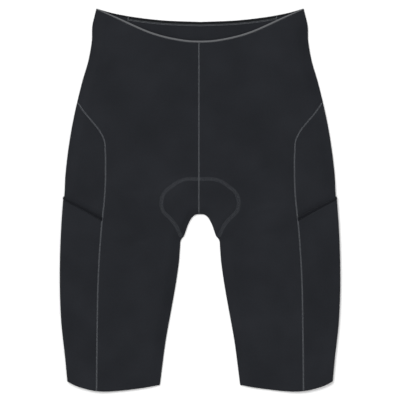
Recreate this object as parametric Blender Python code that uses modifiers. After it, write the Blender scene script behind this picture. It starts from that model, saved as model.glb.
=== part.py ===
"""Knee-length cycling shorts with a seat pad, laid out flat on their back.

Sizes are in millimetres and become metres when a mesh is made. The shorts lie on z = 0 with the waist
towards +Y and the front up. The origin is on that surface, under the middle of their outline. Left and
right are the wearer's, so the left pieces lie at +X. Each cut piece is one object: a sheet worked out on a
grid of rows and columns, whose wall grows inwards from its outer face. Places are worked out for the +X
half and mirrored for the other.
"""
import bmesh
import bpy
import numpy as np

MM = 0.001

# Cloth and seams
WALL = 1.0
SEAM = 0.3
STEP = WALL + SEAM

# Heights of the laid garment over the surface it lies on
FRONT_HEIGHT = 5.0
PRESSED_HEIGHT = 2 * WALL + SEAM
FOLD_HEIGHT = 3.2
POCKET_FOLD_HEIGHT = 5.5
PRESSED_WIDTH = 18.0

# Seat pad, and the dome that it makes in the front over it
PAD_RISE = 4.2
PAD_CENTRE = -12.0
PAD_HALF_WIDTH = 58.0
PAD_HALF_LENGTH = 42.0
PAD_DOME_EDGE = 1.35
PAD_DOME_SLOPE = 0.6
PAD_EDGE_SLOPE = 10.0
PAD_CLEAR = 0.6
PAD_INSET = 5.0
PAD_ROWS = 11
PAD_COLUMNS = 5

# Trims
EDGE_WIDTH = 3.0
TAPE_WIDTH = 4.6
TAPE_HALF_LENGTH = 111.0
TAPE_DROP = 0.6
TAPE_COLUMNS = 9
BINDING_AT_FOLD = 3.2
BINDING_AT_SEAM = 6.0

# Landmarks along the length
CROTCH = -21.3
SIDE_TIP = 146.0
FOLD_STARTS = 166.0
FOLD_FULL = 136.0

# Pocket mouth: its height at the outer fold, how much it falls towards the front seam, and its bow. The
# side panel dives under the pocket, and the fold swells for it, within these distances above the mouth.
MOUTH_HEIGHT = 4.5
MOUTH_FALL = 28.4
MOUTH_BOW = 1.9
MOUTH_SLANT = 1.15
POCKET_DIVE = 8.0
POCKET_SWELL = 32.0

# Outer fold of the laid garment: height, half width
OUTER_FOLD = [
    (287.4, 155.5), (275.0, 158.6), (263.0, 161.4), (239.0, 162.4), (224.0, 164.6), (209.0, 167.6),
    (179.0, 176.4), (149.0, 183.9), (119.0, 190.5), (74.0, 198.0), (14.0, 204.3), (-46.0, 208.7),
    (-106.0, 210.5), (-151.0, 210.0), (-181.0, 208.5), (-241.0, 202.1), (-272.3, 199.2),
]

# Seam between the front and the side panel: height, half width
SIDE_SEAM = [
    (146.0, 184.6), (144.0, 182.0), (140.0, 179.3), (134.0, 175.3), (119.0, 162.8), (104.0, 150.8),
    (89.0, 143.5), (74.0, 142.2), (44.0, 141.7), (14.0, 142.5), (-46.0, 148.3), (-106.0, 152.2),
    (-211.0, 154.5), (-290.0, 155.3),
]

# Inner edge of a leg, from the middle of the crotch: half width, height
INNER_LEG = [
    (0.0, -21.3), (6.0, -21.8), (10.7, -24.8), (15.0, -30.8), (18.5, -38.2), (22.2, -48.8), (24.6, -54.8),
    (27.5, -57.8), (29.1, -61.0), (29.9, -70.0), (31.5, -90.8), (35.6, -120.8), (43.4, -165.8),
    (51.5, -210.8), (57.5, -255.8), (60.2, -277.5),
]

# Edges across the garment: half width, height
FRONT_WAIST = [
    (0.0, 239.0), (15.0, 239.5), (37.5, 242.7), (60.0, 247.9), (75.0, 252.7), (90.0, 258.8), (105.0, 265.6),
    (120.0, 272.4), (135.0, 278.8), (155.5, 287.4),
]
BACK_WAIST = [
    (0.0, 267.3), (59.0, 269.9), (89.0, 273.2), (112.0, 276.7), (134.0, 281.2), (155.5, 287.4),
]
HEM = [
    (60.2, -277.5), (81.8, -281.4), (96.8, -283.5), (126.8, -286.8), (145.5, -287.4), (156.8, -286.5),
    (171.8, -283.4), (186.8, -278.6), (199.2, -272.3),
]

# Outline of the seat pad from its middle, round its side towards the inner leg: half width, height
PAD_OUTLINE = [
    (0.0, 31.4), (20.0, 31.2), (31.0, 28.2), (42.0, 21.0), (54.5, 10.6), (58.6, -2.0), (57.0, -14.8),
    (44.6, -29.0), (36.3, -39.4), (34.2, -44.0),
]
PAD_INNER_LENGTH = 33.0

# Rows of a front or a back: heights of their outer ends, then how far along the inner leg the lower start
TIP_ROWS = [146.0, 144.0, 140.0, 133.0, 123.0, 111.0, 98.0, 81.0]
UPPER_ROWS = [272.0, 253.0, 233.0, 212.0, 190.0, 167.0] + TIP_ROWS + [58.0, 36.0, 16.0, 0.0, -12.0, CROTCH]
LEG_STATIONS = [
    3.5, 8.0, 13.0, 20.0, 29.0, 37.0, 40.5, 44.5, 50.0, 63.0, 83.0, 107.0, 133.0, 161.0, 191.0, 223.0, 250.0,
]
PANEL_COLUMNS = [0.0, 0.035, 0.08, 0.15, 0.25, 0.38, 0.52, 0.66, 0.79, 0.91, 1.0]

# Columns of a piece round the outer fold, along its cloth from the front seam at 1 to the back seam at -1
TOP_COLUMNS = [1.0, 0.66, 0.36, 0.16, 0.075, 0.05, 0.025]
ROUND_COLUMNS = np.array(TOP_COLUMNS + [0.0] + [-c for c in reversed(TOP_COLUMNS)])

# Rows of the side panels and pockets, as shares of the way from one line round the fold to the next
TIP_TO_DIVE = [0.3, 0.6, 0.85, 1.0]
DIVE_TO_MOUTH = [0.5, 0.95]
MOUTH_TO_HEM = [0.05, 0.15, 0.28, 0.42, 0.56, 0.7, 0.85, 1.0]
BINDING_TO_HEM = [0.0, 0.12, 0.26, 0.4, 0.55, 0.7, 0.85, 1.0]

CHARCOAL = (0.020, 0.022, 0.026, 1.0)
BINDING_BLACK = (0.011, 0.012, 0.014, 1.0)
EDGE_GREY = (0.150, 0.153, 0.160, 1.0)
PAD_GREY = (0.120, 0.125, 0.135, 1.0)


def smooth(table, at):
    """Reads a two-column table at the given places, through a cubic between each pair of rows."""
    knots, values = np.array(sorted(table)).T
    at = np.clip(at, knots[0], knots[-1])
    slopes = np.gradient(values, knots)
    row = np.clip(np.searchsorted(knots, at) - 1, 0, len(knots) - 2)
    span = knots[row + 1] - knots[row]
    t = (at - knots[row]) / span
    start = (1 + 2 * t) * (1 - t) ** 2 * values[row] + t * (1 - t) ** 2 * span * slopes[row]
    end = t * t * (3 - 2 * t) * values[row + 1] - t * t * (1 - t) * span * slopes[row + 1]
    return start + end


def slant(table, at):
    """How much longer a table's line is there than the step along its first column."""
    return np.hypot(1.0, smooth(table, at + 0.5) - smooth(table, at - 0.5))


def lowered(table, drop):
    """The same line across the garment, moved down by a drop measured square to it."""
    across, height = np.array(table).T
    return list(zip(across, height - drop * slant(table, across)))


def chord_lengths(points):
    """How far along the chords each of the points lies."""
    return np.append(0.0, np.cumsum(np.hypot(*np.diff(np.array(points), axis=0).T)))


def along(points, stations):
    """Places on a smooth curve through the points, at distances measured along its chords."""
    length = chord_lengths(points)
    return np.stack([smooth(list(zip(length, column)), stations) for column in np.array(points).T], axis=-1)


def ease(t):
    """Rises smoothly from 0 to 1 while t does."""
    t = np.clip(t, 0.0, 1.0)
    return t * t * (3 - 2 * t)


def distance_to(points, line):
    """Shortest distance in plan from each point to a line of straight stretches."""
    start, stretch = line[:-1], np.diff(line, axis=0)
    away = points[..., None, :2] - start
    share = np.clip((away * stretch).sum(-1) / (stretch ** 2).sum(-1), 0.0, 1.0)
    return np.linalg.norm(away - share[..., None] * stretch, axis=-1).min(-1)


def leg_stations():
    """How far along the inner leg each of the lower rows starts, down to the hem."""
    return np.append(LEG_STATIONS, chord_lengths(INNER_LEG)[-1])


def from_inner_leg(points):
    """Distance in plan from the inner edge of the leg."""
    return distance_to(points, np.concatenate([INNER_LEG[:1], along(INNER_LEG, leg_stations())]))


def pad_lift(points):
    """How far the seat pad lifts the front: a flat-topped dome that fades out past the pad's outline."""
    reach = np.hypot(points[..., 0] / PAD_HALF_WIDTH, (points[..., 1] - PAD_CENTRE) / PAD_HALF_LENGTH)
    dome = ease((PAD_DOME_EDGE - reach) / PAD_DOME_SLOPE)
    return PAD_RISE * dome * ease(from_inner_leg(points) / PAD_EDGE_SLOPE)


def outer_edge_height(height):
    """Height of the cloth at the outer edge: a pressed seam above the side panel, its fold below."""
    folded = ease((FOLD_STARTS - height) / (FOLD_STARTS - FOLD_FULL))
    return PRESSED_HEIGHT + (FOLD_HEIGHT - PRESSED_HEIGHT) * folded


def front_height(points):
    """Height of the front's outer face: pressed down at its closed edges and lifted by the pad."""
    from_fold = smooth(OUTER_FOLD, points[..., 1]) - points[..., 0]
    outer_drop = (FRONT_HEIGHT - outer_edge_height(points[..., 1])) * (1 - ease(from_fold / PRESSED_WIDTH))
    inner_drop = (FRONT_HEIGHT - PRESSED_HEIGHT) * (1 - ease(from_inner_leg(points) / PRESSED_WIDTH))
    return FRONT_HEIGHT - outer_drop - inner_drop + pad_lift(points)


def seam_width(heights, shift):
    """Half width at the side seam, moved outwards by a shift measured square to the seam."""
    width = smooth(SIDE_SEAM, heights) + shift * slant(SIDE_SEAM, heights)
    return np.minimum(width, smooth(OUTER_FOLD, heights))


def outer_ends(heights):
    """Outer ends of a front's or a back's rows: on the fold above the side panel, then along its seam."""
    on_fold = smooth(OUTER_FOLD, heights)
    return np.stack([np.where(heights < SIDE_TIP, seam_width(heights, -SEAM / 2), on_fold), heights], axis=-1)


def half_panel(waist, centre):
    """Grid in plan of half a back, or of a front, with its inner column on the centre line.

    Each row runs from the centre line or the inner leg to the outer end. It is bowed as the waist is near
    the top, and as the hem is near the bottom, and less and less away from them.
    """
    top = waist[-1][1]
    upper = np.array([top] + UPPER_ROWS)
    inner_upper = CROTCH + (upper - CROTCH) * (waist[0][1] - CROTCH) / (top - CROTCH)
    stations = leg_stations()
    inner = np.stack([np.full_like(upper, centre), inner_upper], axis=-1)
    inner = np.concatenate([inner, along(INNER_LEG, stations)])
    lower = CROTCH + (smooth(HEM, SIDE_SEAM[-1][1]) - CROTCH) * stations / stations[-1]
    outer = outer_ends(np.concatenate([upper, lower]))

    grid = inner[:, None] + (outer - inner)[:, None] * np.array(PANEL_COLUMNS)[:, None]
    near_waist = np.clip(outer[:, 1] / top, 0, 1) ** 2
    near_hem = np.clip((CROTCH - outer[:, 1]) / (CROTCH - outer[-1, 1]), 0, 1) ** 2
    waist_bow = smooth(waist, grid[0, :, 0]) - grid[0, :, 1]
    hem_bow = smooth(HEM, grid[-1, :, 0]) - grid[-1, :, 1]
    grid[..., 1] += near_waist[:, None] * waist_bow + near_hem[:, None] * hem_bow
    return grid


def at_height(grid, height):
    """Adds a height to each point of a grid in plan."""
    return np.concatenate([grid, np.broadcast_to(height, grid.shape[:2])[..., None]], axis=-1)


def mouth(column):
    """Height of the pocket's mouth, lowest at the front seam and highest at the back one."""
    return MOUTH_HEIGHT - MOUTH_FALL * column - MOUTH_BOW * column ** 2


def fold_height(heights):
    """Height of the outer fold, which swells towards the pocket's mouth to hold its layers."""
    plain = outer_edge_height(heights)
    swell = ease((mouth(ROUND_COLUMNS) + POCKET_SWELL - heights) / POCKET_SWELL)
    return plain + (POCKET_FOLD_HEIGHT - plain) * swell


def round_fold(heights, depth):
    """Places round the outer fold for rows of heights, at a depth under the outer face.

    The section lies flat below, turns a half circle at the fold and lies flat on top, where it settles to
    the front's height. The columns share out the cloth from the front seam to the back seam.
    """
    radius = fold_height(heights) / 2
    quarter = radius * np.pi / 2
    width = smooth(OUTER_FOLD, heights) - seam_width(heights, SEAM / 2)
    turned = radius * np.arccos(np.clip(1 - width / radius, 0, 1))
    cloth = ROUND_COLUMNS * np.where(width < radius, turned, width - radius + quarter)
    angle = np.clip(cloth / radius, -np.pi / 2, np.pi / 2)
    flat = np.clip(np.abs(cloth) - quarter, 0, None)
    x = smooth(OUTER_FOLD, heights) - radius + (radius - depth) * np.cos(angle) - flat
    z = radius + (radius - depth) * np.sin(angle)
    settle = np.where(cloth > 0, (FRONT_HEIGHT - 2 * radius) * ease(flat / PRESSED_WIDTH), 0.0)
    return np.stack([x, heights, z + settle], axis=-1)


def hem_row():
    """Heights of the hem at the columns round the outer fold."""
    return smooth(HEM, round_fold(np.full_like(ROUND_COLUMNS, HEM[-1][1]), 0.0)[:, 0])


def rows_between(upper, lower, shares):
    """Rows of heights at the given shares of the way from an upper row to a lower one."""
    return upper + np.array(shares)[:, None] * (lower - upper)


def material(name, colour, roughness):
    """A plain finish for one kind of cloth."""
    finish = bpy.data.materials.new(name)
    finish.use_nodes = True
    shader = finish.node_tree.nodes["Principled BSDF"]
    shader.inputs["Base Color"].default_value = colour
    shader.inputs["Roughness"].default_value = roughness
    return finish


def add_object(name, mesh, finish):
    """Puts a mesh into the garment's collection under its piece's name."""
    mesh.materials.append(finish)
    piece = bpy.data.objects.new(name, mesh)
    bpy.data.collections[GARMENT].objects.link(piece)
    return piece


def grid_faces(rows, columns, flip=False):
    """Four-sided faces of a grid, row by row, whose outer side is up where rows go down and columns out."""
    corner = np.arange(rows * columns).reshape(rows, columns)
    corners = [corner[:-1, :-1], corner[1:, :-1], corner[1:, 1:], corner[:-1, 1:]]
    faces = np.stack(corners, axis=-1).reshape(-1, 4)
    return faces[:, ::-1] if flip else faces


def sheet(name, grid, finish, flip=False, side=1):
    """One cut piece: a grid of points as a sheet, with its wall grown inwards by Solidify."""
    points = grid * np.array([side, 1, 1]) * MM
    mesh = bpy.data.meshes.new(name)
    faces = grid_faces(*grid.shape[:2], flip=flip != (side < 0))
    mesh.from_pydata(points.reshape(-1, 3).tolist(), [], faces.tolist())
    mesh.shade_smooth()
    return add_object(name, mesh, finish)


def add_wall(piece):
    """Grows a sheet's wall away from its outer face."""
    wall = piece.modifiers.new("wall", "SOLIDIFY")
    wall.thickness = WALL * MM
    wall.offset = -1
    wall.use_even_offset = True


def add_mirror(piece):
    """Adds the other half of a piece that is open at the centre line."""
    mirror = piece.modifiers.new("other half", "MIRROR")
    mirror.merge_threshold = 0.00005


def make_fronts(finish):
    """The two fronts, which meet at the centre-front seam and stop short of the waist's edge."""
    plan = half_panel(lowered(FRONT_WAIST, EDGE_WIDTH + SEAM), SEAM / 2)
    for name, side in (("front_left", 1), ("front_right", -1)):
        add_wall(sheet(name, at_height(plan, front_height(plan)), finish, side=side))


def make_back(finish):
    """The back, in one piece, flat on the surface that the shorts lie on."""
    back = sheet("back", at_height(half_panel(BACK_WAIST, 0.0), 0.0), finish, flip=True)
    add_mirror(back)
    add_wall(back)


def side_rows():
    """Rows of heights of a side panel, from its point to the hem."""
    tip = np.array([SIDE_TIP - 0.5] + TIP_ROWS[1:])[:, None] + 0 * ROUND_COLUMNS
    dive = mouth(ROUND_COLUMNS) + POCKET_DIVE
    to_dive = rows_between(tip[-1], dive, TIP_TO_DIVE)
    to_mouth = rows_between(dive, mouth(ROUND_COLUMNS), DIVE_TO_MOUTH)
    to_hem = rows_between(mouth(ROUND_COLUMNS), hem_row(), MOUTH_TO_HEM)
    return np.concatenate([tip, to_dive, to_mouth, to_hem])


def make_sides(finish):
    """The side panels, which turn round the outer fold and dive under the pockets at their mouths."""
    heights = side_rows()
    under_pocket = (mouth(ROUND_COLUMNS) + POCKET_DIVE - heights) / (POCKET_DIVE - SEAM)
    grid = round_fold(heights, STEP * ease(under_pocket))
    for name, side in (("side_left", 1), ("side_right", -1)):
        add_wall(sheet(name, grid, finish, side=side))


def make_pockets(finish, binding_finish):
    """The pocket layers over the side panels, each with an elastic binding along its slanted mouth."""
    widening = (BINDING_AT_SEAM - BINDING_AT_FOLD) * np.clip(ROUND_COLUMNS, 0, 1)
    binding_end = mouth(ROUND_COLUMNS) - BINDING_AT_FOLD - widening
    binding = round_fold(rows_between(mouth(ROUND_COLUMNS), binding_end, [0.0, 1.0]), 0.0)
    pocket_start = binding_end - SEAM * MOUTH_SLANT
    pocket = round_fold(rows_between(pocket_start, hem_row(), BINDING_TO_HEM), 0.0)
    for wearer, side in (("left", 1), ("right", -1)):
        add_wall(sheet("pocket_" + wearer, pocket, finish, side=side))
        add_wall(sheet("pocket_binding_" + wearer, binding, binding_finish, side=side))


def ribbon_plan(table, across, drops):
    """A narrow strip in plan between two drops under one of the garment's edges."""
    lines = [smooth(lowered(table, drop), across) for drop in drops]
    return np.stack([np.broadcast_to(across, np.shape(lines)), lines], axis=-1)


def make_waist_edge(finish):
    """The elastic edge along the front of the waist, with its columns where the fronts have theirs."""
    across = np.array(PANEL_COLUMNS) * FRONT_WAIST[-1][0]
    plan = ribbon_plan(FRONT_WAIST, across, (0.0, EDGE_WIDTH))
    edge = sheet("waist_edge", at_height(plan, front_height(plan)), finish)
    add_mirror(edge)
    add_wall(edge)


def make_back_tape(finish):
    """The tape on the inside of the back, just under its waist."""
    across = np.linspace(0, TAPE_HALF_LENGTH, TAPE_COLUMNS)
    plan = ribbon_plan(BACK_WAIST, across, (TAPE_DROP, TAPE_DROP + TAPE_WIDTH))
    tape = sheet("back_waist_tape", at_height(plan, STEP + WALL), finish)
    add_mirror(tape)
    add_wall(tape)


def pad_plan():
    """Half of the seat pad in plan: rows from its inner edge, set in from the crotch, to its outline."""
    share = np.linspace(0, 1, PAD_ROWS)
    stations = share * PAD_INNER_LENGTH
    tangent = along(INNER_LEG, stations + 0.5) - along(INNER_LEG, np.clip(stations - 0.5, 0, None))
    tangent[0, 1] = 0.0
    outwards = np.stack([-tangent[:, 1], tangent[:, 0]], axis=-1)
    outwards /= np.linalg.norm(outwards, axis=-1, keepdims=True)
    inner = along(INNER_LEG, stations) + PAD_INSET * outwards
    outer = along(PAD_OUTLINE, share * chord_lengths(PAD_OUTLINE)[-1])
    return inner[:, None] + (outer - inner)[:, None] * np.linspace(0, 1, PAD_COLUMNS)[:, None]


def make_seat_pad(finish):
    """The seat pad, folded double in the crotch: a coarse cage of loops round it, made soft and mirrored."""
    plan = pad_plan()
    top = at_height(plan, front_height(plan) - WALL - PAD_CLEAR)
    loops = np.concatenate([top, at_height(plan, STEP)[:, ::-1]], axis=1)
    rows, around = loops.shape[:2]
    faces = grid_faces(rows, around + 1)
    mesh = bpy.data.meshes.new("seat_pad")
    closed = np.concatenate([loops, loops[:, :1]], axis=1)
    mesh.from_pydata((closed.reshape(-1, 3) * MM).tolist(), [], faces.tolist())
    cage = bmesh.new()
    cage.from_mesh(mesh)
    bmesh.ops.remove_doubles(cage, verts=cage.verts, dist=0.01 * MM)
    end = [edge for edge in cage.edges if edge.is_boundary and edge.verts[0].co.x > MM]
    bmesh.ops.holes_fill(cage, edges=end, sides=around)
    cage.to_mesh(mesh)
    cage.free()
    pad = add_object("seat_pad", mesh, finish)
    add_mirror(pad)
    soft = pad.modifiers.new("soft", "SUBSURF")
    soft.levels = soft.render_levels = 1


def clear_scene():
    """Removes what a new file holds."""
    for old in list(bpy.data.objects):
        bpy.data.objects.remove(old, do_unlink=True)


GARMENT = "cycling_shorts"

clear_scene()
bpy.context.scene.collection.children.link(bpy.data.collections.new(GARMENT))
cloth = material("charcoal knit", CHARCOAL, 0.75)
make_fronts(cloth)
make_back(cloth)
make_sides(cloth)
make_pockets(cloth, material("black elastic", BINDING_BLACK, 0.6))
make_waist_edge(material("grey elastic edge", EDGE_GREY, 0.7))
make_back_tape(material("waist tape", CHARCOAL, 0.8))
make_seat_pad(material("seat pad foam", PAD_GREY, 0.9))
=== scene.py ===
"""Padded knee-length cycling shorts, laid out flat on their back on a pale table and seen from above.

The sections follow the garment as it is put together: the back lies on the table with the tape and the edging
sewn to its inside, whose black also serves as painted shade along the back's top edge, then come the fronts
and the seat pad between them and the back, the elastic of the waist, the side panels round the outer folds,
the pockets with their bindings, whose black and extra width also serve as painted shade in the pockets'
mouths, and the sewing last. Sizes are in millimetres and become metres when a mesh or a material is made.
The waist points to +Y and the front is up. Left and right are the wearer's, so left pieces lie at +X.
"""

import bpy
import numpy as np
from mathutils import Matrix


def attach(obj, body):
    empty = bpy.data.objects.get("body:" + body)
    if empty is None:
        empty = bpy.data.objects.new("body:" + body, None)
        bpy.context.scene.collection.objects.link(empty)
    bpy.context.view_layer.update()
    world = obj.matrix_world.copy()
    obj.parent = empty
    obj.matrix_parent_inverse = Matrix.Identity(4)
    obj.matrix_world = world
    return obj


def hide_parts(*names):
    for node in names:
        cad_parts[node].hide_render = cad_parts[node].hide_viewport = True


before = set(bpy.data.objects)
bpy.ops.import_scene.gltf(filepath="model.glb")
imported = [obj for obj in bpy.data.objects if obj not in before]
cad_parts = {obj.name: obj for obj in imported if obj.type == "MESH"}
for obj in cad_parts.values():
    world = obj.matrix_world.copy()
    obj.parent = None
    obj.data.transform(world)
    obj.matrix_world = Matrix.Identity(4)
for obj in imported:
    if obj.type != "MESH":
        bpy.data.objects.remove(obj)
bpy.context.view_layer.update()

# Table, lamp and camera
# A matt white table top in an even white surround, with a wide soft lamp from the upper left. The camera
# looks straight down on the middle of the shorts through a long lens, 1.5 mm to a pixel.
MM = 0.001
PICTURE_WIDTH = 600.0
SENSOR_WIDTH = 36.0
LENS = 300.0
FRONT_HEIGHT = 5.0
TABLE_HALF = 20000.0
TABLE_GAP = 0.3
TABLE_WHITE = (0.86, 0.86, 0.86, 1.0)
LAMP_SIDE = (-1500.0, 1700.0, 2600.0)
LAMP_ANGLE = 0.6
LAMP_STRENGTH = 1.9
SURROUND_STRENGTH = 0.92
WHITE = (1.0, 1.0, 1.0, 1.0)
SHEEN_ROUGHNESS = 0.4


def set_inputs(finish, target, inputs):
    """Gives each of a node's inputs a value, or links another node's output to it."""
    for socket, value in inputs.items():
        if isinstance(value, bpy.types.NodeSocket):
            finish.node_tree.links.new(value, target.inputs[socket])
        else:
            target.inputs[socket].default_value = value


def new_finish(name, roughness, specular, sheen=0.0):
    """A material with the values that are the same all over it, and its shader for what varies."""
    finish = bpy.data.materials.new(name)
    finish.use_nodes = True
    shader = finish.node_tree.nodes["Principled BSDF"]
    set_inputs(finish, shader, {
        "Roughness": roughness, "Specular IOR Level": specular,
        "Sheen Weight": sheen, "Sheen Roughness": SHEEN_ROUGHNESS,
    })
    return finish, shader


def add_piece(name, points, faces, finish, cloth=None, caps=()):
    """Makes a mesh of points in millimetres, with each point's place on the flat cloth as its UV map."""
    mesh = bpy.data.meshes.new(name)
    mesh.from_pydata((points.reshape(-1, 3) * MM).tolist(), [], faces.tolist() + [c.tolist() for c in caps])
    mesh.shade_smooth()
    mesh.materials.append(finish)
    if cloth is not None:
        corners = np.empty(len(mesh.loops), dtype=np.int32)
        mesh.loops.foreach_get("vertex_index", corners)
        places = (cloth.reshape(-1, 2) * MM)[corners]
        mesh.uv_layers.new(name="cloth").data.foreach_set("uv", places.astype(np.float32).ravel())
    piece = bpy.data.objects.new(name, mesh)
    bpy.context.scene.collection.objects.link(piece)
    return piece


table_finish, table_shader = new_finish("matt white table", roughness=0.8, specular=0.2)
set_inputs(table_finish, table_shader, {"Base Color": TABLE_WHITE})
corner_signs = np.array([(-1, -1), (1, -1), (1, 1), (-1, 1)])
table_corners = np.column_stack([corner_signs * TABLE_HALF, np.full(4, -TABLE_GAP)])
table = add_piece("table", table_corners, np.arange(4)[None], table_finish)

surround = bpy.data.worlds.new("white surround")
surround.use_nodes = True
background = surround.node_tree.nodes["Background"]
set_inputs(surround, background, {"Color": WHITE, "Strength": SURROUND_STRENGTH})
bpy.context.scene.world = surround

lamp_data = bpy.data.lights.new("soft lamp", "SUN")
lamp_data.angle = LAMP_ANGLE
lamp_data.energy = LAMP_STRENGTH
lamp = bpy.data.objects.new("soft lamp", lamp_data)
bpy.context.scene.collection.objects.link(lamp)
lamp.location = np.array(LAMP_SIDE) * MM
lamp.rotation_euler = (-lamp.location).to_track_quat("-Z", "Y").to_euler()

camera_data = bpy.data.cameras.new("camera")
camera_data.sensor_width = SENSOR_WIDTH
camera_data.lens = LENS
camera = bpy.data.objects.new("camera", camera_data)
bpy.context.scene.collection.objects.link(camera)
camera.location = (0.0, 0.0, (FRONT_HEIGHT + PICTURE_WIDTH * LENS / SENSOR_WIDTH) * MM)
bpy.context.scene.camera = camera
bpy.context.scene.view_settings.view_transform = "Standard"

# Back panel
# One piece of dense stretch knit from the waist, which is higher than the front's, down to both hems. It lies
# flat on the table, and at the crotch, the inner legs and the hips its edge turns up to meet the fronts.
CLOTH = 0.9
TURN = 1.15
CROTCH = -21.3
SIDE_TIP = 146.0
FOLD_STARTS = 166.0
FOLD_FULL = 136.0
SIDE_FOLD = 1.6
SEAM_GAP = 0.05
SEAM_DIP = 0.35
SEAM_DIP_WIDTH = 2.4
PAD_SEAM_DIP = 0.49
PAD_SEAM_SPREAD = 1.3

# Outer fold of the laid shorts, and the seam between a side panel and the front or back: height, half width
OUTER_FOLD = [
    (287.4, 155.5), (275.0, 158.6), (263.0, 161.4), (239.0, 162.4), (224.0, 164.6), (209.0, 167.6),
    (179.0, 176.4), (149.0, 183.9), (119.0, 190.5), (74.0, 198.0), (14.0, 204.3), (-46.0, 208.7),
    (-106.0, 210.5), (-151.0, 210.0), (-181.0, 208.5), (-241.0, 202.1), (-272.3, 199.2),
]
SIDE_SEAM = [
    (146.0, 184.6), (144.0, 182.0), (140.0, 179.3), (134.0, 175.3), (119.0, 162.8), (104.0, 150.8),
    (89.0, 143.5), (74.0, 142.2), (44.0, 141.7), (14.0, 142.5), (-46.0, 148.3), (-106.0, 152.2),
    (-211.0, 154.5), (-290.0, 155.3),
]

# Inner edge of a leg from the middle of the crotch, the hem and the back's waist: half width, height
INNER_LEG = [
    (0.0, -21.3), (6.0, -21.8), (10.7, -24.8), (15.0, -30.8), (18.5, -38.2), (22.2, -48.8), (24.6, -54.8),
    (27.5, -57.8), (29.1, -61.0), (29.9, -70.0), (31.5, -90.8), (35.6, -120.8), (43.4, -165.8),
    (51.5, -210.8), (57.5, -255.8), (60.2, -277.5),
]
HEM = [
    (60.2, -277.5), (81.8, -281.4), (96.8, -283.5), (126.8, -286.8), (145.5, -287.4), (156.8, -286.5),
    (171.8, -283.4), (186.8, -278.6), (199.2, -272.3),
]
BACK_WAIST = [
    (0.0, 267.3), (59.0, 269.9), (89.0, 273.2), (112.0, 276.7), (134.0, 281.2), (155.5, 287.4),
]

# Outline of the seat pad from its middle round its side to the inner leg: half width, height
PAD_OUTLINE = [
    (0.0, 31.4), (20.0, 31.2), (31.0, 28.2), (42.0, 20.8), (54.0, 10.2), (57.9, -2.0), (56.3, -14.8),
    (44.0, -28.5), (35.8, -39.0), (32.0, -47.0), (29.2, -53.0),
]

# Lines of the panel's grid: distances from a row's two ends, and the angles of the turned edge
NEAR_STEPS = np.array([0.0, 0.5, 1.1, 1.9, 3.0, 4.6, 7.0])
FAR_STEPS = np.array([8.5, 6.0, 4.2, 3.0, 2.1, 1.6, 1.15, 0.75, 0.42, 0.18, 0.05, 0.0])
MIDDLE_STEPS = 56
HIP_ROWS = 62
THIGH_ROWS = 74
LEG_ROWS = 112
TURN_ANGLES = np.radians([0.0, 20.0, 40.0, 60.0, 75.0, 90.0])


def smooth(table, at):
    """Reads a two-column table: between rows it is the cubic with the values and slopes of both rows."""
    knots, values = np.array(sorted(table)).T
    at = np.clip(at, knots[0], knots[-1])
    slopes = np.gradient(values, knots)
    row = np.clip(np.searchsorted(knots, at) - 1, 0, len(knots) - 2)
    span = knots[row + 1] - knots[row]
    t = (at - knots[row]) / span
    start = (1 + 2 * t) * (1 - t) ** 2 * values[row] + t * (1 - t) ** 2 * span * slopes[row]
    end = t * t * (3 - 2 * t) * values[row + 1] - t * t * (1 - t) * span * slopes[row + 1]
    return start + end


def ease(t):
    """Rises smoothly from 0 to 1 while t does: 3 t^2 - 2 t^3."""
    t = np.clip(t, 0.0, 1.0)
    return t * t * (3 - 2 * t)


def points_of(*columns):
    """Points in plan or in space, with a column for each of their coordinates."""
    return np.stack(np.broadcast_arrays(*columns), axis=-1)


def raised(places, height):
    """Places in plan brought to their heights."""
    return np.concatenate([places, height[..., None]], axis=-1)


def chord_lengths(points):
    """How far along the chords each of the points lies."""
    return np.append(0.0, np.cumsum(np.hypot(*np.diff(np.array(points), axis=0).T)))


def along(points, stations):
    """Places on a smooth curve through the points, at distances measured along its chords."""
    length = chord_lengths(points)
    return points_of(*(smooth(list(zip(length, column)), stations) for column in np.array(points).T))


def whole_curve(points, count):
    """A count of places from end to end of the smooth curve through the points."""
    return along(points, np.linspace(0.0, chord_lengths(points)[-1], count))


def slope_at(table, at):
    """Slope of a line that a table gives."""
    return smooth(table, at + 0.5) - smooth(table, at - 0.5)


def to_left(places):
    """The same places on the left half."""
    return points_of(np.abs(places[..., 0]), places[..., 1])


def leftwards(line):
    """Unit vectors square to a line in plan, to the left of the way that it runs."""
    tangent = np.gradient(line, axis=0)
    tangent /= np.linalg.norm(tangent, axis=-1, keepdims=True)
    return points_of(-tangent[:, 1], tangent[:, 0])


def distance_to(places, line):
    """Shortest distance in plan from each place to a line of straight stretches."""
    start, stretch = line[:-1], np.diff(line, axis=0)
    away = places[..., None, :] - start
    share = np.clip((away * stretch).sum(-1) / (stretch ** 2).sum(-1), 0.0, 1.0)
    return np.linalg.norm(away - share[..., None] * stretch, axis=-1).min(-1)


inner_leg_length = chord_lengths(INNER_LEG)[-1]
inner_leg_line = whole_curve(INNER_LEG, 90)
pad_line = whole_curve(PAD_OUTLINE, 60)


def fold_radius(height):
    """Half the height of the outer fold: pressed above the side panel, and the cloth's own below."""
    return TURN + (SIDE_FOLD - TURN) * ease((FOLD_STARTS - height) / (FOLD_STARTS - FOLD_FULL))


def from_fold(places):
    """Distance across from the outer fold."""
    return np.clip(smooth(OUTER_FOLD, places[..., 1]) - np.abs(places[..., 0]), 0.0, None)


def rounding(distance, radius):
    """How far a turned edge leaves the flat: r - sqrt(r^2 - (r - d)^2) within r of its outermost line."""
    return radius - np.sqrt(radius ** 2 - (radius - np.clip(distance, 0.0, radius)) ** 2)


def seam_dip(distance):
    """How far stitches draw the cloth in: dip exp(-(d / width)^2) at a distance d from the seam."""
    return SEAM_DIP * np.exp(-(distance / SEAM_DIP_WIDTH) ** 2)


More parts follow.
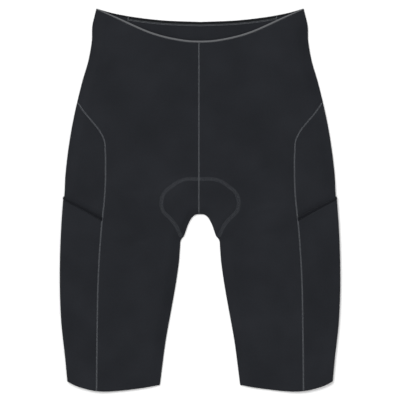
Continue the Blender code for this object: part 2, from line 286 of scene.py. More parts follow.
def pad_seam_dip(places):
    """How far the wider stitches round the seat pad draw the cloth in."""
    from_pad = distance_to(to_left(places), pad_line)
    return PAD_SEAM_DIP / SEAM_DIP * seam_dip(from_pad / PAD_SEAM_SPREAD)


def seam_width(height, shift=0.0):
    """Half width at the side seam, moved outwards by a shift measured square to the seam."""
    shifted = smooth(SIDE_SEAM, height) + shift * np.hypot(1.0, slope_at(SIDE_SEAM, height))
    return np.minimum(shifted, smooth(OUTER_FOLD, height))


def from_side_seam(places):
    """Distance square to the side seam, for places below its point."""
    height = places[..., 1]
    across = np.abs(smooth(SIDE_SEAM, height) - np.abs(places[..., 0]))
    return across / np.hypot(1.0, slope_at(SIDE_SEAM, height))


def half_panel(waist, centre):
    """Half of a back or a front in plan, as the grid of the panel and the grid of its turned inner edge.

    A row runs straight from its inner end I to its outer end O: P(u, v) = I(u) + v (O(u) - I(u)).
    It is then bowed as the waist is near the top, and as the hem is near the bottom. The turned edge is
    P(s, a) = E(s) + r (1 - cos a) N(s), with E the inner leg, N square to it and r its radius.
    """
    top = waist[-1][1]
    hip = np.linspace(top, SIDE_TIP, HIP_ROWS)
    upper = np.append(hip, np.linspace(SIDE_TIP, CROTCH, THIGH_ROWS)[1:])
    stations = np.linspace(0.0, inner_leg_length, LEG_ROWS)
    edge = along(INNER_LEG, stations)
    square = leftwards(edge)
    square[0] = (0.0, 1.0)
    edge[0, 0] = centre
    turned = edge[:, None] + TURN * (1 - np.cos(TURN_ANGLES))[:, None] * square[:, None]

    start = CROTCH + TURN
    inner_upper = start + (upper - CROTCH) * (waist[0][1] - start) / (top - CROTCH)
    inner = np.concatenate([points_of(centre, inner_upper), turned[1:, -1]])
    hem_at_seam = smooth(HEM, seam_width(min(height for _, height in HEM)))
    lower = CROTCH + (hem_at_seam - CROTCH) * stations[1:] / inner_leg_length
    height = np.append(upper, lower)
    across = np.where(height < SIDE_TIP, seam_width(height, -SEAM_GAP), smooth(OUTER_FOLD, height))
    outer = points_of(across, height)

    width = np.linalg.norm(outer - inner, axis=-1)[:, None]
    even = NEAR_STEPS[-1] + np.linspace(0, 1, MIDDLE_STEPS)[1:-1] * (width - NEAR_STEPS[-1] - FAR_STEPS[0])
    near = np.broadcast_to(NEAR_STEPS, (len(width), len(NEAR_STEPS)))
    share = np.concatenate([near, even, width - FAR_STEPS], axis=1) / width
    grid = inner[:, None] + share[..., None] * (outer - inner)[:, None]
    near_waist = np.clip(height / top, 0, 1) ** 2
    near_hem = np.clip((CROTCH - height) / (CROTCH - height[-1]), 0, 1) ** 2
    waist_bow = smooth(waist, grid[0, :, 0]) - grid[0, :, 1]
    hem_bow = smooth(HEM, grid[-1, :, 0]) - grid[-1, :, 1]
    bow = near_waist[:, None] * waist_bow + near_hem[:, None] * hem_bow
    grid[..., 1] += bow
    turned[..., 1] += bow[len(upper) - 1:, :1] * (1 - np.cos(TURN_ANGLES))
    return grid, turned


def numbered(shape):
    """Point numbers of a grid, row by row."""
    return np.arange(np.prod(shape)).reshape(shape)


def grid_faces(index):
    """Four-sided faces of a grid of point numbers, facing up where rows go down and columns go right."""
    corners = [index[:-1, :-1], index[1:, :-1], index[1:, 1:], index[:-1, 1:]]
    return np.stack(corners, axis=-1).reshape(-1, 4)


def joined_grids(grid, turned):
    """Points and faces of a panel and its turned edge, whose last column is the panel's lower first one."""
    turned = turned[:, :-1]
    index = numbered(grid.shape[:2])
    edge = index.size + numbered(turned.shape[:2])
    points = np.concatenate([grid.reshape(-1, grid.shape[-1]), turned.reshape(-1, grid.shape[-1])])
    edge = np.hstack([edge, index[-len(turned):, :1]])
    return points, np.concatenate([grid_faces(index), grid_faces(edge)])


def thicken(piece, thickness):
    """Grows a sheet's wall inwards from its outer face."""
    wall = piece.modifiers.new("wall", "SOLIDIFY")
    wall.thickness = thickness * MM
    wall.offset = -1


def lay_cloth(piece, cad_node):
    """Attaches a cut piece of knit to the root, and hides the node that it stands for."""
    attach(piece, "root")
    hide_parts(cad_node)


def sew_on(trim, cloth, cad_node=None):
    """Fixes a trim or a row of stitches to the cloth that carries it."""
    trim.parent = cloth
    if cad_node is not None:
        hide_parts(cad_node)


def under_height(places):
    """Height of the back's outer face: 0 where it lies flat, more at the hip's turned edge and at seams."""
    turn = rounding(from_fold(places), fold_radius(places[..., 1]))
    dip = np.where(places[..., 1] < SIDE_TIP, seam_dip(from_side_seam(places)), 0.0)
    return np.maximum(turn, dip + pad_seam_dip(places))


# The knit's stitches are 0.55 mm wide and 0.7 mm long, and slant to both sides of each wale
WALE = 0.55
COURSE = 0.7
KNIT_SLANT = 0.8
KNIT_DARK = (0.0074, 0.0084, 0.0109, 1.0)
KNIT_LIGHT = (0.0119, 0.0132, 0.0166, 1.0)


def node(finish, kind, inputs=(), **settings):
    """Adds a node with its settings, and sets or links its inputs."""
    made = finish.node_tree.nodes.new(kind)
    for setting, value in settings.items():
        setattr(made, setting, value)
    set_inputs(finish, made, dict(inputs))
    return made


def reckon(finish, operation, *values):
    """Result of a reckoning with numbers and other nodes' outputs."""
    return node(finish, "ShaderNodeMath", dict(enumerate(values)), operation=operation).outputs[0]


def clouds(finish, place, scale, detail=2.0, roughness=0.5):
    """Share from 0 to 1 that changes in clouds, with their scale to a metre."""
    inputs = {"Vector": place, "Scale": scale, "Detail": detail, "Roughness": roughness}
    return node(finish, "ShaderNodeTexNoise", inputs).outputs["Fac"]


def spread(finish, value, limits):
    """Share from 0 to 1 as a value goes between limits, or a new range for such a share."""
    return node(finish, "ShaderNodeMapRange", {"Value": value, **limits}).outputs[0]


def blend(finish, share, one, other):
    """Colour between two others at a share of the way."""
    inputs = {"Factor": share, "A": one, "B": other}
    return node(finish, "ShaderNodeMix", inputs, data_type="RGBA").outputs["Result"]


def relief(finish, height, strength, depth, under=None):
    """Normals of a fine relief of a depth in millimetres, over another relief where one is given."""
    inputs = {"Height": height, "Strength": strength, "Distance": depth * MM}
    if under is not None:
        inputs["Normal"] = under
    return node(finish, "ShaderNodeBump", inputs).outputs[0]


def knit_finish(name, dark, light):
    """A dense, matt stretch knit: its height is cos^2(pi (y / course + 0.8 |x'|)), with x' from -0.5 to 0.5
    across a wale."""
    finish, shader = new_finish(name, roughness=0.72, specular=0.10, sheen=0.06)
    place = node(finish, "ShaderNodeUVMap", uv_map="cloth").outputs["UV"]
    split = node(finish, "ShaderNodeSeparateXYZ", {"Vector": place}).outputs
    across = reckon(finish, "PINGPONG", reckon(finish, "DIVIDE", split["X"], WALE * MM), 0.5)
    courses = reckon(finish, "DIVIDE", split["Y"], COURSE * MM)
    turns = reckon(finish, "MULTIPLY", reckon(finish, "MULTIPLY_ADD", across, KNIT_SLANT, courses), 2 * np.pi)
    yarn = spread(finish, reckon(finish, "COSINE", turns), {"From Min": -1.0})
    mottle = clouds(finish, place, 420.0, detail=3.0, roughness=0.65)
    mixed = reckon(finish, "ADD", mottle, clouds(finish, place, 14.0))
    soft = relief(finish, clouds(finish, place, 55.0), strength=0.25, depth=0.6)
    set_inputs(finish, shader, {
        "Base Color": blend(finish, spread(finish, mixed, {"From Min": 0.75, "From Max": 1.25}), dark, light),
        "Roughness": spread(finish, mottle, {"To Min": 0.64, "To Max": 0.82}),
        "Normal": relief(finish, yarn, strength=0.5, depth=0.12, under=soft),
    })
    return finish


knit = knit_finish("charcoal stretch knit", KNIT_DARK, KNIT_LIGHT)

back_grid, back_turned = half_panel(BACK_WAIST, 0.0)
back_grid = raised(back_grid, under_height(back_grid))
turned_up = TURN * (1 - np.sin(TURN_ANGLES))
back_turned = raised(back_turned, np.broadcast_to(turned_up, back_turned.shape[:2]))
half_points, half_faces = joined_grids(back_grid, back_turned)
twin = np.where(half_points[:, 0] == 0, 0, len(half_points)) + np.arange(len(half_points))
both_faces = np.concatenate([half_faces[:, ::-1], twin[half_faces]])
used, both_faces = np.unique(both_faces, return_inverse=True)
both_faces = both_faces.reshape(-1, 4)
both_points = np.concatenate([half_points, half_points * (-1, 1, 1)])[used]
back = add_piece("back_panel", both_points, both_faces, knit, cloth=both_points[:, :2])
thicken(back, CLOTH)
lay_cloth(back, "back")

# Tape inside the back of the waist
# A narrow woven tape of a blacker colour than the knit, whose black also serves as painted shade along the
# back's top edge. It is sewn flat to the inside of the back, just under the top edge, by a row of grey
# stitches along its lower edge and one at each end.
TAPE_WIDTH = 4.6
TAPE_ENDS = (-109.1, 116.1)
TAPE_DROP = 0.6
TAPE_THICK = 0.8
TAPE_STATIONS = 260
WAVE_BANDS = 3.2
TAPE_CLEAR = 0.15
TAPE_RIB = 1.2
# The tape's black, which the edging shares, is partly painted shade along the back's top edge
TAPE_BLACK_AND_SHADE = (0.0027, 0.0033, 0.0041, 1.0)
TAPE_WORN = (0.0050, 0.0058, 0.0068, 1.0)


def edge_line(table, across, drop):
    """Places on a line across the whole garment, moved down by a drop measured square to it."""
    side = np.abs(across)
    height = smooth(table, side) - drop * np.hypot(1.0, slope_at(table, side))
    return points_of(across, height)


def ribbon(name, table, across, drop, width, floor, thick, finish, round_steps=10, rib=0.0, rib_pitch=1.0):
    """A closed band of a width, at a drop from the line that a table gives, with cross ribs on its face.

    Its upper edge U and lower edge L are lines in plan. With an angle a round its section, the plan is
    U + (L - U) (1 - cos a) / 2, and the height is floor + thick (1 + sign(sin a) |sin a|^0.5) / 2.
    """
    upper, lower = edge_line(table, across, drop), edge_line(table, across, drop + width)
    angle = np.linspace(0, 2 * np.pi, 2 * round_steps, endpoint=False)
    share = (1 - np.cos(angle)) / 2
    plan = upper[:, None] + share[:, None] * (lower - upper)[:, None]
    rise = (1 + np.sign(np.sin(angle)) * np.sqrt(np.abs(np.sin(angle)))) / 2
    station = chord_lengths((upper + lower) / 2)[:, None]
    wave = rib * np.sin(2 * np.pi * station / rib_pitch) * (rise > 0.5)
    points = np.dstack([plan, np.broadcast_to(floor, len(station))[:, None] + thick * rise + wave])
    index = numbered(points.shape[:2])
    faces = grid_faces(np.hstack([index, index[:, :1]]))[:, ::-1]
    cloth = np.dstack(np.broadcast_arrays(station, share * thick))
    return add_piece(name, points, faces, finish, cloth=cloth, caps=(index[0, ::-1], index[-1]))


def ribbed_finish(name, colour, worn, rib, specular=0.15, sheen=0.15):
    """Woven elastic or tape: cross ribs at a pitch along the band, with a fleck of a lighter colour."""
    finish, shader = new_finish(name, roughness=0.6, specular=specular, sheen=sheen)
    place = node(finish, "ShaderNodeUVMap", uv_map="cloth").outputs["UV"]
    inputs = {"Vector": place, "Scale": 1 / (rib * MM) / WAVE_BANDS, "Distortion": 0.4}
    ribs = node(finish, "ShaderNodeTexWave", inputs).outputs["Fac"]
    set_inputs(finish, shader, {
        "Base Color": blend(finish, clouds(finish, place, 900.0), colour, worn),
        "Normal": relief(finish, ribs, strength=0.5, depth=0.2),
    })
    return finish


tape_and_shade_finish = ribbed_finish("black woven tape and painted shade", TAPE_BLACK_AND_SHADE, TAPE_WORN, TAPE_RIB, specular=0.08, sheen=0.03)
tape = ribbon(
    "back_waist_tape_band", BACK_WAIST, np.linspace(*TAPE_ENDS, TAPE_STATIONS), TAPE_DROP, TAPE_WIDTH,
    CLOTH + TAPE_CLEAR, TAPE_THICK, tape_and_shade_finish,
)
sew_on(tape, back, "back_waist_tape")

# Edging of the back's waist
# A narrow black edging, woven as the tape is, which also serves as painted shade where the back's top edge
# nears the front. It runs on from each end of the tape along the inside of the back's top edge and tapers
# out at the hip.
EDGING_AND_SHADE_WIDTH = 2.2
EDGING_AND_SHADE_TIP = 0.4
EDGING_AND_SHADE_END = 143.0
EDGING_AND_SHADE_TAPER = 22.0
EDGING_AND_SHADE_DROP = 0.15
EDGING_AND_SHADE_CLEAR = 0.05
EDGING_AND_SHADE_THICK = 0.35
EDGING_AND_SHADE_STATIONS = 40
TAPE_GAP = 0.2

# Each strip is an edging and also painted shade along the back's top edge beyond the tape's ends
for wearer, start, end in (
        ("left", TAPE_ENDS[1] + TAPE_GAP, EDGING_AND_SHADE_END), ("right", -EDGING_AND_SHADE_END, TAPE_ENDS[0] - TAPE_GAP)):
    across = np.linspace(start, end, EDGING_AND_SHADE_STATIONS)
    width = EDGING_AND_SHADE_TIP + (EDGING_AND_SHADE_WIDTH - EDGING_AND_SHADE_TIP) * ease((EDGING_AND_SHADE_END - np.abs(across)) / EDGING_AND_SHADE_TAPER)
    edging_and_shade = ribbon(
        "back_waist_edging_and_shade_" + wearer, BACK_WAIST, across, EDGING_AND_SHADE_DROP, width, CLOTH + EDGING_AND_SHADE_CLEAR,
        EDGING_AND_SHADE_THICK, tape_and_shade_finish,
    )
    sew_on(edging_and_shade, back)

# Fronts
# Two mirrored pieces of the same knit, with a lower waist, which meet at the centre-front seam. They lie on
# the back, drop to it at the closed edges, and the seat pad inside the crotch lifts them into a low dome.
PRESSED_WIDTH = 18.0
ELASTIC_WIDTH = 2.8
ELASTIC_TAPER = 1.4
TAPER_STARTS = 104.0
TAPER_LENGTH = 52.0
PAD_RISE = 4.2
PAD_CENTRE = -12.0
PAD_HALF_WIDTH = 58.0
PAD_HALF_LENGTH = 42.0
PAD_DOME_EDGE = 1.35
PAD_DOME_SLOPE = 0.6
PAD_EDGE_SLOPE = 10.0
SMOOTH_HALF_WIDTH = 64.0
SMOOTH_HALF_LENGTH = 48.0
SMOOTH_SLOPE = 0.35
SMOOTH_SHARE = 0.7
HEM_SETTLE = 1.9
WAIST_SETTLE = 1.3
SETTLE_LENGTH = 55.0
SETTLE_WIDTH = 34.0
PUCKER = 0.10
PUCKER_LENGTH = 8.5
PUCKER_WIDTH = 6.0
PUCKER_SLANT = 1.7
EDGE_WAVE = 0.15
EDGE_WAVE_LENGTH = 13.0
SOFT_WAVE = 0.16
CENTRE_SEAM = -1.7
SIDES = (("left", 1), ("right", -1))
FRONT_WAIST = [
    (0.0, 239.0), (15.0, 239.5), (37.5, 242.7), (60.0, 247.9), (75.0, 252.7), (90.0, 258.8), (105.0, 265.6),
    (120.0, 272.4), (135.0, 278.8), (155.5, 287.4),
]

# Creases over the whole laid front: from x, y to x, y, how far its middle bows out, its half width,
# and its height, where a trough is below 0
CREASES = [
    (64, -30, 134, -8, 6, 7.5, 0.75), (62, -47, 126, -47, -5, 7.0, -0.55), (66, -66, 112, -82, 4, 8.0, 0.45),
    (-66, -24, -122, 12, -7, 8.5, 0.70), (-60, -52, -136, -64, 6, 8.0, -0.60),
    (-64, -76, -104, -98, -3, 7.0, 0.40), (62, 14, 108, 52, 5, 9.0, -0.45),
    (-70, 22, -98, 66, -4, 8.0, -0.40), (34, 196, 66, 118, 7, 12.0, 0.50),
    (-30, 206, -74, 134, -9, 13.0, 0.55), (112, 236, 150, 176, 6, 9.0, -0.55),
    (-118, 232, -148, 184, -5, 9.0, 0.50), (96, 168, 128, 98, -8, 11.0, 0.50),
    (-104, 158, -122, 104, 6, 12.0, -0.45), (76, -112, 112, -236, 9, 12.0, 0.60),
    (-104, -120, -84, -244, -8, 13.0, 0.65), (134, -150, 122, -250, -5, 10.0, -0.45),
    (-136, -84, -128, -176, 6, 11.0, -0.50), (172, 96, 182, 34, 4, 8.0, 0.45),
    (-166, 88, -186, 22, -5, 8.5, 0.50), (166, -58, 190, -166, 6, 9.0, 0.45),
    (-170, -72, -186, -190, -6, 9.5, -0.45), (176, -206, 168, -262, 3, 8.0, 0.40),
    (-166, -216, -180, -258, 3, 8.5, 0.45), (14, 150, 30, 84, 4, 11.0, 0.35),
    (-18, 120, -36, 58, -4, 10.0, 0.35), (60, 232, 92, 206, 3, 8.0, 0.35),
    (-54, 226, -84, 196, -3, 8.5, 0.35),
]


def elastic_width(across):
    """Width of the waist's elastic, which is pulled narrower towards the hips."""
    return ELASTIC_WIDTH - ELASTIC_TAPER * ease((np.abs(across) - TAPER_STARTS) / TAPER_LENGTH)


def pad_lift(places):
    """How far the seat pad lifts the front: a flat-topped dome that fades out past the pad's outline."""
    across, height = np.abs(places[..., 0]), places[..., 1]
    reach = np.hypot(across / PAD_HALF_WIDTH, (height - PAD_CENTRE) / PAD_HALF_LENGTH)
    from_leg = distance_to(to_left(places), inner_leg_line)
    return PAD_RISE * ease((PAD_DOME_EDGE - reach) / PAD_DOME_SLOPE) * ease(from_leg / PAD_EDGE_SLOPE)


def crease_height(places):
    """Slow waves and soft creases: a crease is height exp(-q^2) (1 - q^2 / 2) sin(pi t)^0.8 at a place that
    lies q half widths off it, at a share t of its length."""
    x, y = places[..., 0], places[..., 1]
    total = SOFT_WAVE * np.sin(x / 23 + y / 41) * np.sin(y / 31 - x / 57)
    for x0, y0, x1, y1, bow, half_width, height in CREASES:
        stretch = np.array([x1 - x0, y1 - y0])
        length = np.hypot(*stretch)
        away = places - (x0, y0)
        share = np.clip(away @ stretch / length ** 2, 0.0, 1.0)
        swell = np.sin(np.pi * share)
        off = away @ (-stretch[1], stretch[0]) / length - bow * swell
        q = off / (half_width * (0.7 + 0.3 * swell))
        total += height * np.exp(-q ** 2) * (1 - q ** 2 / 2) * swell ** 0.8
    return total


def pucker(distance, station):
    """Small gathers that a seam's thread makes beside it: p sin(2 pi s / length) exp(-d / width)."""
    return PUCKER * np.sin(2 * np.pi * station / PUCKER_LENGTH) * np.exp(-distance / PUCKER_WIDTH)


def settled_ends(places):
    """How far the fronts' free edges sink towards the back, near the hems and the waist, in soft waves."""
    across, height = np.abs(places[..., 0]), places[..., 1]
    to_hem = height - smooth(HEM, across)
    to_waist = smooth(FRONT_WAIST, across) - height
    sunk = HEM_SETTLE * ease(1 - to_hem / SETTLE_LENGTH) + WAIST_SETTLE * ease(1 - to_waist / SETTLE_LENGTH)
    waves = 1 - EDGE_WAVE + EDGE_WAVE * np.sin(places[..., 0] / EDGE_WAVE_LENGTH)
    return waves * sunk * ease((smooth(SIDE_SEAM, height) - across) / SETTLE_WIDTH)


def top_height(places):
    """Height of the laid shorts' upper face: pressed at its closed edges, and lifted by the pad."""
    across, height = np.abs(places[..., 0]), places[..., 1]
    out, radius = from_fold(places), fold_radius(height)
    by_leg = ease(distance_to(to_left(places), inner_leg_line) / PRESSED_WIDTH)
    base = 2 * radius + (FRONT_HEIGHT - 2 * radius) * ease((out - radius) / PRESSED_WIDTH)
    base -= rounding(out, radius) + (FRONT_HEIGHT - 2 * TURN) * (1 - by_leg)
    free = ease(out / PRESSED_WIDTH) * by_leg
    base -= settled_ends(places) * free
    reach = np.hypot(across / SMOOTH_HALF_WIDTH, (height - PAD_CENTRE) / SMOOTH_HALF_LENGTH)
    over_pad = ease((PAD_DOME_EDGE - reach) / SMOOTH_SLOPE)
    return base + pad_lift(places) + crease_height(places) * free * (1 - SMOOTH_SHARE * over_pad)


def sewn_height(places):
    """The upper face drawn in and puckered at the centre-front seam and the side seams, and round the pad."""
    x, height = places[..., 0], places[..., 1]
    at_side = np.where(height < SIDE_TIP, from_side_seam(places), np.inf)
    at_centre = np.abs(x - CENTRE_SEAM)
    drawn = seam_dip(at_centre) + seam_dip(at_side) + pad_seam_dip(places)
    gathers = pucker(at_centre, height) + pucker(at_side, height + PUCKER_SLANT * x)
    return top_height(places) - drawn + gathers


def on_top(places):
    """Points of the sewn upper face over places in plan."""
    return raised(places, sewn_height(places))


waist_slope = np.gradient(*np.array(FRONT_WAIST).T[::-1])
front_top = [(x, y - elastic_width(x) * np.hypot(1, s)) for (x, y), s in zip(FRONT_WAIST, waist_slope)]
fronts = {}
for wearer, side in SIDES:
    plan, turned = half_panel(front_top, side * CENTRE_SEAM + SEAM_GAP)
    plan, turned = plan * (side, 1), turned * (side, 1)
    grid = on_top(plan)
    level = grid[-len(turned):, :1, 2]
    turned = raised(turned, level - turned_up - (level - 2 * TURN) * np.cos(TURN_ANGLES))
    front_points, front_faces = joined_grids(grid, turned)
    front_faces = front_faces[:, ::side]
    front = add_piece("front_panel_" + wearer, front_points, front_faces, knit, cloth=front_points[:, :2])
    thicken(front, CLOTH)
    lay_cloth(front, "front_" + wearer)
    fronts[wearer] = front

# Seat pad
# Foam in a brushed cover with punched holes, folded double in the crotch and sealed between the fronts and
# the back. It thins out to its rim and its two tips, and two channels are sunk along its upper face.
PAD_INNER_LENGTH = 33.0
PAD_INSET = 5.0
PAD_CLEAR = 0.5
PAD_RIM = 1.2
PAD_ROWS = 141
PAD_ROUND = 56
PAD_CHANNELS = (0.30, 0.64)
CHANNEL_DEPTH = 0.55
CHANNEL_WIDTH = 0.055
LINE_PLACES = 60
PAD_GREY = (0.060, 0.063, 0.070, 1.0)
PAD_FLECK = (0.092, 0.096, 0.104, 1.0)
HOLE_PITCH = 3.0
# The holes are painted, not cut: their near-black is painted shade inside them
HOLE_PAINTED_SHADE = (0.006, 0.006, 0.007, 1.0)


def spindle_faces(rings, sides):
    """Triangles of a closed spindle: fans at its two poles, and bands between its rings."""
    ring = 1 + np.arange(rings * sides).reshape(rings, sides)
    turned = np.roll(ring, -1, axis=1)
    first, last = np.zeros_like(ring[0]), np.full_like(ring[0], rings * sides + 1)
    fans = [(first, ring[0], turned[0]), (last, turned[-1], ring[-1])]
    bands = [(ring[:-1], turned[1:], turned[:-1]), (ring[:-1], ring[1:], turned[1:])]
    return np.concatenate([np.stack(corners, axis=-1).reshape(-1, 3) for corners in fans + bands])


def read_at(line, known, at):
    """Values of a line's points or vectors between the places where they are known."""
    return points_of(*(np.interp(at, known, column) for column in line.T))


def folded_pad(station, angle):
    """The pad's skin, with a station u from tip to tip and an angle a round its section.

    M and H are the middle and the half of the stretch from the edge near the crotch to the pad's outline.
    With w = sqrt(1 - u^8), the plan is M - w cos(a) H. The height is floor + (ceiling - floor) w (1 + s) / 2,
    with s = sign(sin a) |sin a|^0.7. The channels are sunk into its upper face.
    """
    side, part = np.where(station < 0, -1.0, 1.0), np.abs(station)
    near = along(INNER_LEG, np.linspace(0.0, PAD_INNER_LENGTH, LINE_PLACES))
    near += PAD_INSET * leftwards(near)
    near[0, 0] = 0.0
    far = along(PAD_OUTLINE, np.linspace(0.0, chord_lengths(PAD_OUTLINE)[-1] - PAD_RIM, LINE_PLACES))
    shares = np.linspace(0.0, 1.0, LINE_PLACES)
    near, far = read_at(near, shares, part), read_at(far, shares, part)
    half = (far - near) / 2
    half *= (1 - PAD_RIM / np.linalg.norm(half, axis=-1))[..., None]
    full = np.sqrt(1 - part ** 8)
    plan = (near + far) / 2 - (full * np.cos(angle))[..., None] * half
    plan[..., 0] *= side
    across = (1 - np.cos(angle)) / 2
    sunk = sum(np.exp(-((across - place) / CHANNEL_WIDTH) ** 2) for place in PAD_CHANNELS)
    section = np.sign(np.sin(angle)) * np.abs(np.sin(angle)) ** 0.7
    ceiling = top_height(plan) - CLOTH - PAD_CLEAR - CHANNEL_DEPTH * sunk * (np.sin(angle) > 0)
    floor = CLOTH + PAD_CLEAR
    height = floor + (ceiling - floor) * full * (1 + section) / 2
    return raised(plan, height)


pad_finish, pad_shader = new_finish("brushed pad cover", roughness=0.85, specular=0.08, sheen=0.35)
pad_place = node(pad_finish, "ShaderNodeTexCoord").outputs["Object"]
hole_inputs = {"Vector": pad_place, "Scale": 1 / (HOLE_PITCH * MM), "Randomness": 0.0}
holes = node(pad_finish, "ShaderNodeTexVoronoi", hole_inputs).outputs["Distance"]
# Mask of the painted holes: painted shade in them, and a dip in the relief
holes_and_shade = spread(pad_finish, holes, {"From Min": 0.14, "From Max": 0.22})
brushed = clouds(pad_finish, pad_place, 1400.0, detail=4.0, roughness=0.7)
pad_nap = relief(pad_finish, brushed, strength=0.5, depth=0.2)
set_inputs(pad_finish, pad_shader, {
    "Base Color": blend(pad_finish, holes_and_shade, HOLE_PAINTED_SHADE, blend(pad_finish, brushed, PAD_GREY, PAD_FLECK)),
    "Normal": relief(pad_finish, holes_and_shade, strength=0.6, depth=0.4, under=pad_nap),
})

pad_station = np.linspace(-1.0, 1.0, PAD_ROWS + 2)
pad_angle = np.linspace(0.0, 2 * np.pi, PAD_ROUND, endpoint=False)
pad_skin = folded_pad(*np.broadcast_arrays(pad_station[:, None], pad_angle))
pad_points = np.concatenate([pad_skin[0, :1], pad_skin[1:-1].reshape(-1, 3), pad_skin[-1, :1]])
pad = add_piece("crotch_seat_pad", pad_points, spindle_faces(PAD_ROWS, PAD_ROUND), pad_finish)
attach(pad, "root")
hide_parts("seat_pad")

# Elastic along the front of the waist
# A narrow grey elastic band with fine cross ribs, which binds the fronts' top edge from hip to hip. It is
# pulled narrower towards the hips.
ELASTIC_THICK = 1.5
ELASTIC_PROUD = 0.35
ELASTIC_STATIONS = 1200
ELASTIC_RIB = 1.15
ELASTIC_RIB_HEIGHT = 0.07
ELASTIC_GREY = (0.082, 0.084, 0.089, 1.0)
ELASTIC_WORN = (0.104, 0.107, 0.113, 1.0)
waist_finish = ribbed_finish("grey elastic", ELASTIC_GREY, ELASTIC_WORN, ELASTIC_RIB)
waist_across = np.linspace(-FRONT_WAIST[-1][0], FRONT_WAIST[-1][0], ELASTIC_STATIONS)
waist_width = elastic_width(waist_across)
waist_middle = edge_line(FRONT_WAIST, waist_across, waist_width / 2)
waist = ribbon(
    "waist_elastic", FRONT_WAIST, waist_across, 0.0, waist_width,
    top_height(waist_middle) + ELASTIC_PROUD - ELASTIC_THICK, ELASTIC_THICK, waist_finish,
    round_steps=6, rib=ELASTIC_RIB_HEIGHT, rib_pitch=ELASTIC_RIB,
)
sew_on(waist, fronts["left"], "waist_edge")

# Side panels
# A panel of the same knit from a point at the hip to the hem, folded round the side of the leg. Its front
# edge is sewn to the front and its back edge to the back. Under the pocket it lies a layer of cloth deeper.
POCKET_FOLD = 2.75
POCKET_SWELL = 32.0
POCKET_DIVE = 8.0
FOLD_DIVE = 36.0
FOLD_DIVE_SPREAD = 0.22
LAYER = 1.3
MOUTH_HEIGHT = 4.5
MOUTH_FALL = 28.4
MOUTH_BOW = 1.9
ROUND_STEPS = 36
SEAM_SHARE = 0.3
TIP_DROP = 0.6
UPPER_END = 80.0
UNDER_MOUTH = 2.0


def mouth(column):
    """Height of the pocket's mouth round the side, lowest at the front seam: 4.5 - 28.4 c - 1.9 c^2."""
    return MOUTH_HEIGHT - MOUTH_FALL * column - MOUTH_BOW * column ** 2


def side_radius(height, column):
    """Half the height of the fold, which swells towards the pocket's mouth to hold its layers."""
    plain = fold_radius(height)
    return plain + (POCKET_FOLD - plain) * ease((mouth(column) + POCKET_SWELL - height) / POCKET_SWELL)


def round_side(height, column, depth=0.0):
    """Points round the outer fold of the left leg, at a depth under the outer face.

    With r the fold's radius, s the length of cloth from the fold and a = s / r within a quarter turn either
    way, x = fold - r + (r - depth) cos a - flat and z = r + (r - depth) sin a, where flat is the cloth left
    over. On top it settles to the height of the fronts.
    """
    radius = side_radius(height, column)
    quarter = radius * np.pi / 2
    width = smooth(OUTER_FOLD, height) - seam_width(height, SEAM_GAP)
    turned = radius * np.arccos(np.clip(1 - width / radius, 0, 1))
    cloth = column * np.where(width < radius, turned, width - radius + quarter)
    angle = np.clip(cloth / radius, -np.pi / 2, np.pi / 2)
    flat = np.clip(np.abs(cloth) - quarter, 0, None)
    x = smooth(OUTER_FOLD, height) - radius + (radius - depth) * np.cos(angle) - flat
    z = radius + (radius - depth) * np.sin(angle)
    z += np.where(cloth > 0, (FRONT_HEIGHT - 2 * radius) * ease(flat / PRESSED_WIDTH), 0.0)
    return points_of(x, height, z), cloth


def sewn_side(height, column, side, depth=0.0):
    """The same points for either leg, with creases on top, and drawn in at the seams on both faces."""
    points, cloth = round_side(height, column, depth)
    points = points * (side, 1, 1)
    free = ease(np.clip(cloth, 0, None) / PRESSED_WIDTH)
    near_seam = from_side_seam(points[..., :2])
    drawn = seam_dip(near_seam) * (height < SIDE_TIP) * (np.abs(column) > SEAM_SHARE)
    gathers = pucker(near_seam, height + PUCKER_SLANT * points[..., 0])
    on_front = crease_height(points[..., :2]) * free - drawn + gathers
    points[..., 2] += np.where(cloth > 0, on_front, drawn)
    return points, points_of(-side * cloth, height)


def rows_between(first, *lines):
    """Rows of heights from a first line through others, each with the count of rows to it."""
    rows = [first[None]]
    for line, count in lines:
        rows.append(rows[-1][-1] + np.linspace(0, 1, count + 1)[1:, None] * (line - rows[-1][-1]))
    return np.concatenate(rows)


def side_sheet(name, height, side, finish, depth=0.0):
    """A sheet of cloth round the side of a leg, with its faces and its places on the flat cloth."""
    points, cloth = sewn_side(height, np.broadcast_to(around, height.shape), side, depth)
    faces = grid_faces(numbered(height.shape))[:, ::side]
    sheet = add_piece(name, points, faces, finish, cloth=cloth)
    thicken(sheet, CLOTH)
    return sheet, faces, cloth


quarter_round = ease(np.linspace(0.0, 1.0, ROUND_STEPS))
around = np.append(quarter_round[::-1], -quarter_round[1:])
hem_line = smooth(HEM, round_side(np.full_like(around, HEM[-1][1]), around)[0][..., 0])
mouth_line = mouth(around)
side_height = rows_between(
    np.full_like(around, SIDE_TIP - TIP_DROP), (np.full_like(around, UPPER_END), 34),
    (mouth_line + POCKET_DIVE, 30), (mouth_line - UNDER_MOUTH, 8), (hem_line, 72),
)
dive = POCKET_DIVE + (FOLD_DIVE - POCKET_DIVE) * (1 - ease(np.abs(around) / FOLD_DIVE_SPREAD))
side_depth = LAYER * ease((mouth_line + dive - side_height) / dive)
for wearer, side in SIDES:
    panel, faces, cloth = side_sheet("side_panel_" + wearer, side_height, side, knit, side_depth)
    lay_cloth(panel, "side_" + wearer)

